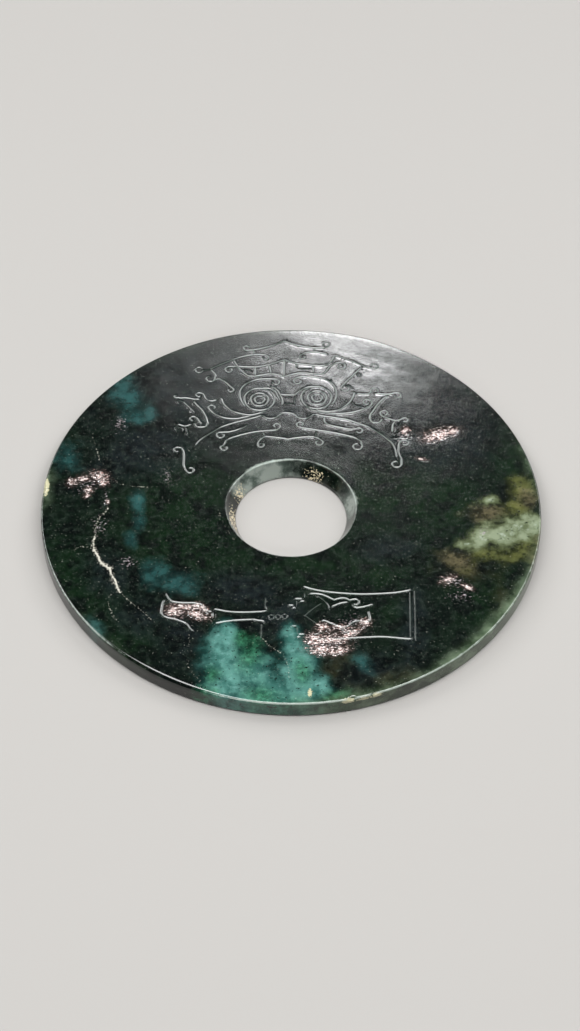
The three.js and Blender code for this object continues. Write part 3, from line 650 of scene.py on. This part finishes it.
def side_rings():
    """Rings from the upper face's outer edge, down the rim, in under the disc and up the bore."""
    outer, worn, mouth = outer_radius(ANGLES), rim_softness(ANGLES), bore_radius(ANGLES)
    rings = []
    for t in np.radians(np.linspace(0, 90, UPPER_ARRIS_RINGS)):
        rings.append(ring_at(outer - worn * (1 - math.sin(t)), THICKNESS - worn * (1 - math.cos(t))))
    for share in np.linspace(0, 1, RIM_RINGS)[1:-1]:
        rings.append(ring_at(outer, (THICKNESS - worn) * (1 - share) + RIM_ARRIS * share))
    for t in np.radians(np.linspace(0, 90, LOWER_ARRIS_RINGS)):
        rings.append(ring_at(outer - RIM_ARRIS * (1 - math.cos(t)), RIM_ARRIS * (1 - math.sin(t))))
    foot_in = BORE_FOOT + BORE_ARRIS
    for share in np.linspace(0, 1, UNDERSIDE_RINGS)[1:-1] ** UNDERSIDE_CROWDING:
        rings.append(ring_at((outer - RIM_ARRIS) * (1 - share) + foot_in * share, 0.0))
    for t in np.radians(np.linspace(0, 90, FOOT_ARRIS_RINGS)):
        rings.append(ring_at(foot_in - BORE_ARRIS * math.sin(t), BORE_ARRIS * (1 - math.cos(t))))
    for share in np.linspace(0, 1, BORE_RINGS)[1:-1]:
        radius = BORE_FOOT * (1 - share) + mouth * share
        rings.append(ring_at(radius, BORE_ARRIS * (1 - share) + (THICKNESS - BORE_ARRIS) * share))
    for t in np.radians(np.linspace(0, 90, MOUTH_ARRIS_RINGS)):
        height = THICKNESS - BORE_ARRIS * (1 - math.sin(t))
        rings.append(ring_at(mouth + BORE_ARRIS * (1 - math.cos(t)), height))
    return rings


def line_points():
    """Points along every engraved line and vein, in rows beside it."""
    found = []
    for reach in ROWS_BESIDE:
        for cut in CUTS:
            for stretch in cut.stretches:
                along = np.gradient(stretch, axis=0)
                across = np.column_stack([-along[:, 1], along[:, 0]])
                across /= np.maximum(np.linalg.norm(across, axis=1), 1e-9)[:, None]
                for side in ((1,) if reach == 0 else (1, -1)):
                    found.append((stretch + across * reach * side, reach))
                for end, way in ((stretch[0], -along[0]), (stretch[-1], along[-1])):
                    if reach:
                        base = math.atan2(way[1], way[0])
                        turns = base + np.radians(END_FAN)
                        fan = np.column_stack([np.cos(turns), np.sin(turns)])
                        found.append((end + reach * fan, reach))
    for half, _, path in VEIN_LINES:
        along = np.gradient(path, axis=0)
        across = np.column_stack([-along[:, 1], along[:, 0]]) / np.linalg.norm(along, axis=1)[:, None]
        for offset in (0, -half, half):
            found.append((path + across * offset, 0))
    points = np.concatenate([p for p, _ in found])
    wanted = np.concatenate([np.full(len(p), r) for p, r in found])
    _, nearest = cut_at(points)
    keep = (nearest > wanted - ROW_SLACK) | (wanted == 0)
    return points[keep]


def grid_points(step, low, high):
    """A triangular grid of points over a rectangle."""
    rows = np.arange(low[1], high[1], step * math.sqrt(3) / 2)
    found = []
    for i, y in enumerate(rows):
        xs = np.arange(low[0] + (i % 2) * step / 2, high[0], step)
        found.append(np.column_stack([xs, np.full(len(xs), y)]))
    return np.concatenate(found)


def thinned(points, cell):
    """Keeps the first point that falls in each small cell."""
    keys = np.round(points / cell).astype(np.int64)
    _, first = np.unique(keys[:, 0] * 1000003 + keys[:, 1], return_index=True)
    return points[np.sort(first)]


def near_curls(points):
    """Which points lie beside a tight turn of an engraved line."""
    near = np.zeros(len(points), bool)
    for cut in CUTS:
        for stretch in cut.stretches:
            if len(stretch) < 3:
                continue
            before, after = stretch[1:-1] - stretch[:-2], stretch[2:] - stretch[1:-1]
            turn = np.abs(before[:, 0] * after[:, 1] - before[:, 1] * after[:, 0]) / STATION**2
            tight = stretch[1:-1][turn > STATION / TIGHT_RADIUS]
            if len(tight):
                inside = within(points, tight.min(0), tight.max(0), CURL_REACH)
                gap = np.linalg.norm(points[inside][:, None, :] - tight, axis=2).min(1)
                near[inside] |= gap < CURL_REACH
    return near


def polar(points):
    """Each point's angle in degrees and its distance from the disc's axis."""
    return np.degrees(np.arctan2(points[:, 1], points[:, 0])) % 360, np.hypot(points[:, 0], points[:, 1])


def edge_radius(angle, edge):
    """How far from the axis a ring of points runs at each angle."""
    return np.interp(angle, ANGLES, np.hypot(*edge.T), period=360)


def face_points(edge, bore_edge):
    """All inner points of the upper face: beside the lines, in flaked places and on plain stone."""
    lines = line_points()
    limit = RADIUS * 1.02
    fine = grid_points(FLAKE_STEP, (-limit, -limit), (limit, limit))
    fine = fine[ovals(fine, FLAKES) > FLAKE_EDGE]
    plain = grid_points(FACE_STEP, (-limit, -limit), (limit, limit))
    plain = plain[ovals(plain, FLAKES) <= FLAKE_EDGE]
    curled = grid_points(CURL_STEP, (-limit, -limit), (limit, limit))
    curled = curled[near_curls(curled)]
    spread = np.concatenate([fine, plain, curled])
    room = np.repeat(ROOM_BESIDE, [len(fine), len(plain), len(curled)])
    _, nearest = cut_at(spread)
    for half, _, path in VEIN_LINES:
        nearest = np.minimum(nearest, line_distance(spread, path) + VEIN_ROOM - half)
    spread = spread[nearest > room]
    points = thinned(np.concatenate([lines, spread]), THINNED_TO)
    angle, far = polar(points)
    clear_of_bore = far > edge_radius(angle, bore_edge) + BORE_MARGIN
    return points[clear_of_bore & (far < edge_radius(angle, edge) - RIM_MARGIN)]


def worked_height(points):
    """Height of the upper face: never above the CAD's, hollowed by hand polishing, cuts and flakes."""
    share, _ = cut_at(points)
    far = np.hypot(points[:, 0], points[:, 1])
    fade = np.clip(np.minimum(RADIUS - RIM_FLAT - far, far - BORE_MOUTH - BORE_FLAT) / POLISH_FADE, 0, 1)
    polish = BROAD_POLISH * noise_at(points, BROAD_GRAIN, 3.1)
    polish = polish + FINE_POLISH * noise_at(points, FINE_GRAIN, 7.7)
    hollow = fade * (POLISH_HOLLOW - polish)
    scar = np.clip(ovals(points, FLAKES) * SCAR_STEEPNESS, 0, 1)
    scar = scar + FLECK_SHARE * np.clip(ovals(points, FLECKS), 0, 1)
    stretched = points * SPLINTER_STRETCH
    splinters = SPLINTER_DEPTH * noise_at(stretched, FLAKE_GRAIN, 2.2)
    rough = scar * (SCAR_DEPTH + splinters + LUMP_DEPTH * noise_at(stretched, LUMP_GRAIN, 5.2))
    crack = np.zeros(len(points))
    for half, pale, path in VEIN_LINES:
        open_share = np.clip(1 - line_distance(points, path) / half, 0, 1)
        crack = np.maximum(crack, CRACK_DEPTH * pale * open_share)
    return THICKNESS - hollow - GROOVE_DEPTH * share - np.clip(rough, 0, 1) - crack


def upward_normals(points):
    """The face's own slope at each point, so that shading keeps the edges of the cuts crisp."""
    slopes = [(worked_height(points + step) - worked_height(points - step)) / (2 * SLOPE_STEP)
              for step in (np.array([SLOPE_STEP, 0]), np.array([0, SLOPE_STEP]))]
    normals = np.column_stack([-slopes[0], -slopes[1], np.ones(len(points))])
    return normals / np.linalg.norm(normals, axis=1)[:, None]


def chipped(points):
    """Pushes the points inside each rim chip onto its hollow."""
    for angle, along, inwards, down in RIM_CHIPS:
        turn = math.radians(angle)
        out = np.array([math.cos(turn), math.sin(turn), 0])
        side = np.array([-math.sin(turn), math.cos(turn), 0])
        centre = out * (RADIUS + CHIP_LIFT) + np.array([0, 0, THICKNESS + CHIP_LIFT])
        local = (points - centre) @ np.column_stack([out / inwards, side / along, np.array([0, 0, 1 / down])])
        size = np.linalg.norm(local, axis=1)
        inside = (size < 1) & (size > 1e-6)
        local[inside] /= size[inside][:, None]
        frame_back = np.stack([out * inwards, side * along, np.array([0, 0, down])])
        points[inside] = centre + local[inside] @ frame_back
    return points


def disc_mesh():
    """The whole disc as one closed mesh."""
    rings = side_rings()
    edge, bore_edge = rings[0][:, :2], rings[-1][:, :2]
    inner = face_points(edge, bore_edge)
    flat = np.concatenate([edge, bore_edge, inner])
    hoops = [(i, (i + 1) % AROUND) for i in range(AROUND)]
    hoops += [(AROUND + a, AROUND + b) for a, b in hoops]
    made = geometry.delaunay_2d_cdt([Vector(p) for p in flat], hoops, [], 0, 1e-7, False)
    if len(made[0]) != len(flat):
        raise ValueError("two points of the face fell together")
    triangles = np.array(made[2])
    angle, far = polar(flat[triangles].mean(1))
    chord = math.cos(math.pi / AROUND)
    on_stone = far > edge_radius(angle, bore_edge) * chord - CHORD_SLACK
    on_stone &= far < edge_radius(angle, edge)
    faces = [tuple(t) for t in triangles[on_stone]]
    top = np.column_stack([flat, worked_height(flat)])
    top[: 2 * AROUND, 2] = THICKNESS
    points = np.concatenate([top, *rings[1:-1]])
    starts = [0] + [len(top) + i * AROUND for i in range(len(rings) - 2)] + [AROUND]
    for a, b in zip(starts, starts[1:]):
        for i in range(AROUND):
            j = (i + 1) % AROUND
            faces.append((a + i, b + i, b + j, a + j))
    broken = chipped(points.copy())
    mesh = bpy.data.meshes.new("jade_disc_carved")
    mesh.from_pydata(broken * MM, [], faces)
    mesh.update()
    mesh.shade_smooth()
    normals = np.empty(len(points) * 3, np.float32)
    mesh.vertex_normals.foreach_get("vector", normals)
    normals = normals.reshape(-1, 3)
    whole = np.flatnonzero((broken[: len(flat)] == points[: len(flat)]).all(1))
    normals[whole] = upward_normals(flat[whole])
    mesh.normals_split_custom_set_from_vertices(normals.tolist())
    return mesh


def glow(angle, places):
    return np.max([pale * bump(angle, centre, spread) for centre, spread, pale in places], axis=0)


def paint_fields(mesh):
    """Stores where the stone's broad colours, flakes, veins and cuts lie, and where highlight, glow and sheen
    are painted on the edges, for the material to read.
    """
    points = np.empty(len(mesh.vertices) * 3)
    mesh.vertices.foreach_get("co", points)
    points = points.reshape(-1, 3) / MM
    flat = points[:, :2]
    angle, far = polar(flat)
    upper = points[:, 2] > THICKNESS - UPPER_SKIN
    share, _ = cut_at(flat)
    vein = np.zeros(len(points))
    for half, pale, path in VEIN_LINES:
        vein = np.maximum(vein, pale * np.clip(VEIN_SPREAD - line_distance(flat, path) / half, 0, 1))
    # Painted highlight: pale bands on the rim's near arris and round the bore's mouth
    corner = np.clip((points[:, 2] - THICKNESS + CORNER_BAND) / CORNER_FADE, 0, 1)
    near_rim_painted_highlight = np.clip((far - RADIUS + RIM_HIGHLIGHT_BAND) / BAND_FADE, 0, 1) * bump(angle, *NEAR_HIGHLIGHT_SIDE)
    bore_mouth_painted_highlight = np.clip((BORE_MOUTH + MOUTH_HIGHLIGHT_BAND - far) / BAND_FADE, 0, 1)
    rim_depth = np.clip((far - RADIUS + RIM_GLOW_DEPTH) / RIM_GLOW_DEPTH, 0, 1) ** RIM_GLOW_FALL
    bore_depth = np.clip((BORE_MOUTH + BORE_PALE_AND_SHEEN_DEPTH - far) / BORE_PALE_AND_SHEEN_DEPTH, 0, 1)
    bore_flecks = np.clip((BORE_MOUTH + BORE_FLECK_BAND - far) / BORE_FLECK_FADE, 0, 1)
    fields = {
        "teal": ovals(flat, TEAL),
        "teal_faint": ovals(flat, TEAL_FAINT),
        "emerald": ovals(flat, EMERALD),
        "moss": ovals(flat, MOSS),
        "slate": ovals(flat, SLATE),
        "brown": ovals(flat, BROWN),
        "mint": ovals(flat, MINT),
        "olive": ovals(flat, OLIVE),
        "tan": ovals(flat, TAN),
        "flake": np.where(upper, ovals(flat, FLAKES), -1),
        "fleck": np.where(upper, ovals(flat, FLECKS), -1),
        "cream": np.where(points[:, 2] > THICKNESS - CREAM_SKIN, ovals(flat, CREAM), -1),
        "vein": np.where(upper, vein, 0),
        "cut": np.where(upper, share, 0),
        "arris_painted_highlight": corner * np.maximum(1.3 * near_rim_painted_highlight, 0.9 * bore_mouth_painted_highlight),
        # Painted glow of light through the thin rim
        "rim": glow(angle, RIM_GLOW) * rim_depth,
        # Paler ground bore wall with a painted sheen at the upper left and right
        "bore": glow(angle, BORE_PALE_AND_SHEEN) * bore_depth,
        "bore_fleck": 2 * glow(angle, BORE_FLECKS) * bore_flecks - 1,
    }
    for name, values in fields.items():
        layer = mesh.attributes.new(name, "FLOAT", "POINT")
        layer.data.foreach_set("value", values.astype(np.float32))


def colour(code):
    """sRGB hex to linear."""
    parts = [int(code[i:i + 2], 16) / 255 for i in (1, 3, 5)]
    return tuple(c / 12.92 if c <= 0.04045 else ((c + 0.055) / 1.055) ** 2.4 for c in parts) + (1.0,)


def per(size):
    """A pattern's scale for a grain of that many mm."""
    return 1 / (size * MM)


def add_node(tree, kind, settings, inputs, output=None):
    """Adds a node; an input is a plain value or another node's output. Gives the output asked for."""
    node = tree.nodes.new(kind)
    for name, value in settings.items():
        setattr(node, name, value)
    for name, value in inputs.items():
        if isinstance(name, int):
            socket = node.inputs[name]
        else:
            socket = next(s for s in node.inputs if s.enabled and s.name == name)
        if isinstance(value, bpy.types.NodeSocket):
            tree.links.new(value, socket)
        else:
            socket.default_value = value
    return output and next(s for s in node.outputs if s.enabled and s.name == output)


def clouded(tree, under, over, pattern, start, full, most=1.0):
    """Clouds the second colour into the first as the pattern rises from start to full."""
    ends = {"Value": pattern, "From Min": start, "From Max": full, "To Max": most}
    share = add_node(tree, "ShaderNodeMapRange", {"interpolation_type": "SMOOTHSTEP"}, ends, "Result")
    sides = {"Factor": share, "A": under, "B": over}
    return add_node(tree, "ShaderNodeMix", {"data_type": "RGBA"}, sides, "Result")


def inclusion(tree, under, over, field, tearing, reach, start, full, most=1.0):
    """Lays a cloud of other mineral where its field is high, with its edge torn by a pattern."""
    lay = add_node(tree, "ShaderNodeAttribute", {"attribute_name": field}, {}, "Fac")
    torn = {0: tearing, 1: reach, 2: lay}
    height = add_node(tree, "ShaderNodeMath", {"operation": "MULTIPLY_ADD"}, torn, "Value")
    middle = reach / 2
    return clouded(tree, under, over, height, middle + start, middle + full, most)


# Nephrite's index of refraction, its roughness where best and least polished, and sizes in mm
NEPHRITE_IOR = 1.62
GLOSSIEST = 0.1
DULLEST = 0.15
GRIT_DEPTH = 0.012
CLOUD_GRAIN = 26
DRIFT_GRAIN = 8
FLEECE_GRAIN = 2.4
SPECK_GRAIN = 1.5
# The real fibres are far finer: this is the finest felt that still shows in the render
FIBRE_GRAIN = 0.8


def felted_ground(tree, place, drift, fleece, fibres):
    """The body of the stone: nearly black green, drifting to moss, slate grey and brown."""
    billow = {"Vector": place, "Scale": per(CLOUD_GRAIN), "Detail": 5, "Roughness": 0.6, "Distortion": 0.5}
    cloud = add_node(tree, "ShaderNodeTexNoise", {}, billow, "Fac")
    ground = clouded(tree, colour("#030807"), colour("#08130b"), cloud, 0.36, 0.6)
    ground = inclusion(tree, ground, colour("#091a0b"), "moss", drift, 2.4, -0.5, 0.9, 0.85)
    ground = inclusion(tree, ground, colour("#12181a"), "slate", drift, 2.4, -0.5, 0.9, 0.8)
    ground = inclusion(tree, ground, colour("#1f2013"), "brown", drift, 2.4, -0.5, 0.9, 0.9)
    ground = clouded(tree, ground, colour("#010303"), drift, 0.56, 0.38, 0.8)
    ground = clouded(tree, ground, colour("#232d26"), fleece, 0.48, 0.74, 0.6)
    ground = clouded(tree, ground, colour("#020403"), fleece, 0.48, 0.3, 0.6)
    return clouded(tree, ground, colour("#434b44"), fibres, 0.56, 0.8, 0.3)


def coloured_clouds(tree, stone, drift, fleece, specks):
    """The mineral clouds in the ground: teal, emerald, olive, tan and mint."""
    faint = clouded(tree, colour("#122c2a"), colour("#264a49"), drift, 0.36, 0.66)
    stone = inclusion(tree, stone, faint, "teal_faint", drift, 2.2, -0.5, 1.1, 0.85)
    teal = clouded(tree, colour("#2b544d"), colour("#4d7a72"), drift, 0.36, 0.64)
    teal = clouded(tree, teal, colour("#6f9a94"), fleece, 0.48, 0.78, 0.45)
    stone = inclusion(tree, stone, colour("#11302c"), "teal", drift, 1.4, -0.4, 0.3, 0.9)
    stone = inclusion(tree, stone, teal, "teal", drift, 1.6, -0.1, 0.75)
    green = clouded(tree, colour("#10361c"), colour("#2f6b4b"), fleece, 0.4, 0.66)
    stone = inclusion(tree, stone, green, "emerald", drift, 2.6, -0.3, 1.0, 0.7)
    olive = clouded(tree, colour("#252a13"), colour("#585b30"), drift, 0.36, 0.62)
    stone = inclusion(tree, stone, olive, "olive", drift, 2.6, -0.6, 1.2, 0.9)
    tan = clouded(tree, colour("#2e2d1f"), colour("#5a533d"), fleece, 0.34, 0.7)
    stone = inclusion(tree, stone, tan, "tan", drift, 2.6, -0.6, 1.1, 0.95)
    stone = inclusion(tree, stone, colour("#4b5338"), "mint", drift, 3.2, -0.5, 0.5, 0.85)
    mint = clouded(tree, colour("#4b553d"), colour("#717b64"), drift, 0.36, 0.6)
    stone = inclusion(tree, stone, mint, "mint", drift, 3.2, -0.05, 0.8)
    stone = inclusion(tree, stone, colour("#96a193"), "mint", fleece, 2.4, 0.7, 1.4, 0.85)
    return clouded(tree, stone, colour("#08110a"), specks, 0.62, 0.72, 0.8)


def edge_flecks_and_painted_glow(tree, stone, drift, fibres):
    """A painted glow where thin rim edges let light through, a paler bore wall with painted sheen, and pale
    flecks and cream skin.
    """
    pale = clouded(tree, colour("#34442f"), colour("#65755f"), drift, 0.36, 0.66)
    # Painted glow: pale green where the thin rim lets light through
    stone = inclusion(tree, stone, pale, "rim", drift, 0.4, 0.04, 0.95, 0.85)
    grey = clouded(tree, colour("#3f4943"), colour("#7c847d"), drift, 0.4, 0.6)
    # Paler ground bore wall with a painted sheen at the upper left and right
    stone = inclusion(tree, stone, grey, "bore", drift, 0.8, 0.1, 0.7)
    stone = inclusion(tree, stone, colour("#cbbd9e"), "bore_fleck", fibres, 5.0, 0.75, 1.05, 0.9)
    return inclusion(tree, stone, colour("#a6a385"), "cream", fibres, 1.6, -0.1, 0.3)


def bright_scars(tree, stone, place, fibres):
    """Healed cracks, and bruises whose tiny flakes shine white and rose."""
    stone = inclusion(tree, stone, colour("#b5b2a6"), "vein", fibres, 2.2, 0.3, 1.0, 0.95)
    stretched = add_node(tree, "ShaderNodeMapping", {}, {"Vector": place, "Scale": (0.55, 1, 1)}, "Vector")
    flaking = add_node(tree, "ShaderNodeTexNoise", {},
                       {"Vector": stretched, "Scale": per(FLAKE_GRAIN), "Detail": 3, "Roughness": 0.7}, "Fac")
    stone = inclusion(tree, stone, colour("#4a3c39"), "flake", flaking, 3.0, -0.6, 0.6, 0.6)
    dull = clouded(tree, colour("#5a4d4d"), colour("#b0a8ae"), fibres, 0.4, 0.66)
    stone = inclusion(tree, stone, dull, "fleck", flaking, 5.0, 1.0, 1.4, 0.8)
    shine = clouded(tree, colour("#7d5c56"), colour("#e0d6d2"), fibres, 0.38, 0.62)
    return inclusion(tree, stone, shine, "flake", flaking, 5.0, 0.35, 0.85, 0.95)


def polished_nephrite():
    """Dark green nephrite, ground and polished: felted fibres give cloudy depth and a waxy gloss."""
    material = bpy.data.materials.new("polished_nephrite")
    material.use_nodes = True
    tree = material.node_tree
    tree.nodes.clear()
    place = add_node(tree, "ShaderNodeTexCoord", {}, {}, "Object")
    drift = add_node(tree, "ShaderNodeTexNoise", {},
                     {"Vector": place, "Scale": per(DRIFT_GRAIN), "Detail": 6, "Roughness": 0.6}, "Fac")
    fleece = add_node(tree, "ShaderNodeTexNoise", {},
                      {"Vector": place, "Scale": per(FLEECE_GRAIN), "Detail": 5, "Roughness": 0.62}, "Fac")
    fibres = add_node(tree, "ShaderNodeTexNoise", {},
                      {"Vector": place, "Scale": per(FIBRE_GRAIN), "Detail": 3, "Roughness": 0.6}, "Fac")
    specks = add_node(tree, "ShaderNodeTexNoise", {},
                      {"Vector": place, "Scale": per(SPECK_GRAIN), "Detail": 2, "Roughness": 0.5}, "Fac")
    stone = felted_ground(tree, place, drift, fleece, fibres)
    stone = coloured_clouds(tree, stone, drift, fleece, specks)
    stone = edge_flecks_and_painted_glow(tree, stone, drift, fibres)
    stone = bright_scars(tree, stone, place, fibres)
    cut = add_node(tree, "ShaderNodeAttribute", {"attribute_name": "cut"}, {}, "Fac")
    stone = clouded(tree, stone, colour("#7f8982"), cut, 0.1, 0.8, 0.22)
    # Painted highlight along the rim's near arris and round the bore's mouth
    stone = inclusion(tree, stone, colour("#99a39b"), "arris_painted_highlight", fleece, 1.6, 0.4, 1.1, 0.7)
    waxy = {"Value": fleece, "From Min": 0.3, "From Max": 0.7, "To Min": GLOSSIEST, "To Max": DULLEST}
    gloss = add_node(tree, "ShaderNodeMapRange", {}, waxy, "Result")
    worn = {"Strength": 1.0, "Distance": GRIT_DEPTH * MM, "Height": fleece}
    grit = add_node(tree, "ShaderNodeBump", {}, worn, "Normal")
    surface = {"Base Color": stone, "Roughness": gloss, "IOR": NEPHRITE_IOR, "Normal": grit}
    shader = add_node(tree, "ShaderNodeBsdfPrincipled", {}, surface, "BSDF")
    add_node(tree, "ShaderNodeOutputMaterial", {}, {"Surface": shader})
    return material


def jade_disc():
    mesh = disc_mesh()
    paint_fields(mesh)
    mesh.materials.append(polished_nephrite())
    disc = bpy.data.objects.new("jade_disc_carved", mesh)
    bpy.context.scene.collection.objects.link(disc)
    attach(disc, "root")
    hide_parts("jade_disc")


# The photograph's view, solved from the disc's outline and thickness; the frame is 580 by 1031 pixels
FRAME_HEIGHT = 1031
FOCAL_PIXELS = 3176.5
ELEVATION = 48.59
ROLL = 0.724
DISTANCE = 1276.3
AIM = Vector((-0.43, 2.0, 0.0))

# The floor's half width in metres, and how far it lies below the disc in mm
FLOOR_HALF = 3.0
FLOOR_DROP = 0.05

# Softboxes in mm and watts: name, place, what it faces, size, power and outline
SOFTBOXES = [
    ("overhead_softbox", (0, -209, 1485), (0, 0, 0), (1870, 530), 36, "RECTANGLE"),
    ("left_softbox", (-940, 500, 1060), (0, 0, 0), (850, 750), 11, "RECTANGLE"),
    ("right_softbox", (940, 500, 1060), (0, 0, 0), (850, 750), 11, "RECTANGLE"),
    ("back_left_softbox", (-1000, 1160, 850), (0, 0, 0), (600, 500), 4, "RECTANGLE"),
    ("back_right_softbox", (1000, 1160, 850), (0, 0, 0), (600, 500), 4, "RECTANGLE"),
    ("far_softbox", (56, 1157, 1032), (30, 92, 0), (136, 66), 0.92, "ELLIPSE"),
    ("far_reflector", (-6, 1126, 1064), (0, 82, 0), (230, 100), 0.1, "ELLIPSE"),
    ("front_softbox", (0, -1000, 640), (0, 0, 0), (1300, 160), 4, "RECTANGLE"),
]


def photo_camera():
    data = bpy.data.cameras.new("camera")
    data.sensor_width = 36
    data.lens = FOCAL_PIXELS * data.sensor_width / FRAME_HEIGHT
    camera = bpy.data.objects.new("camera", data)
    bpy.context.scene.collection.objects.link(camera)
    bpy.context.scene.camera = camera
    slope = math.radians(ELEVATION)
    place = Vector((0, -math.cos(slope), math.sin(slope))) * DISTANCE
    look = (AIM - place).to_track_quat("-Z", "Y").to_matrix().to_4x4()
    camera.matrix_world = Matrix.Translation(place * MM) @ look @ Matrix.Rotation(math.radians(ROLL), 4, "Z")


def studio_floor():
    """A pale matt floor that fills the view."""
    mesh = bpy.data.meshes.new("studio_floor")
    corners = [(x * FLOOR_HALF, y * FLOOR_HALF, 0) for x, y in ((-1, -1), (1, -1), (1, 1), (-1, 1))]
    mesh.from_pydata(corners, [], [(0, 1, 2, 3)])
    material = bpy.data.materials.new("studio_floor")
    material.use_nodes = True
    shader = material.node_tree.nodes["Principled BSDF"]
    shader.inputs["Base Color"].default_value = colour("#959390")
    shader.inputs["Roughness"].default_value = 0.9
    mesh.materials.append(material)
    floor = bpy.data.objects.new("studio_floor", mesh)
    floor.location.z = -FLOOR_DROP * MM
    bpy.context.scene.collection.objects.link(floor)


def softbox(name, place, aim, size, power, shape):
    """A soft white light at a place in mm, turned to face another place."""
    data = bpy.data.lights.new(name, "AREA")
    data.shape = shape
    data.size, data.size_y = size[0] * MM, size[1] * MM
    data.energy = power
    light = bpy.data.objects.new(name, data)
    light.location = Vector(place) * MM
    light.rotation_euler = (Vector(aim) - Vector(place)).to_track_quat("-Z", "Y").to_euler()
    bpy.context.scene.collection.objects.link(light)


def studio():
    for light in SOFTBOXES:
        softbox(*light)
    world = bpy.data.worlds.new("studio_air")
    bpy.context.scene.world = world
    world.use_nodes = True
    world.node_tree.nodes["Background"].inputs["Color"].default_value = colour("#2a2a2e")
    bpy.context.scene.view_settings.view_transform = "Standard"


photo_camera()
studio_floor()
studio()
jade_disc()
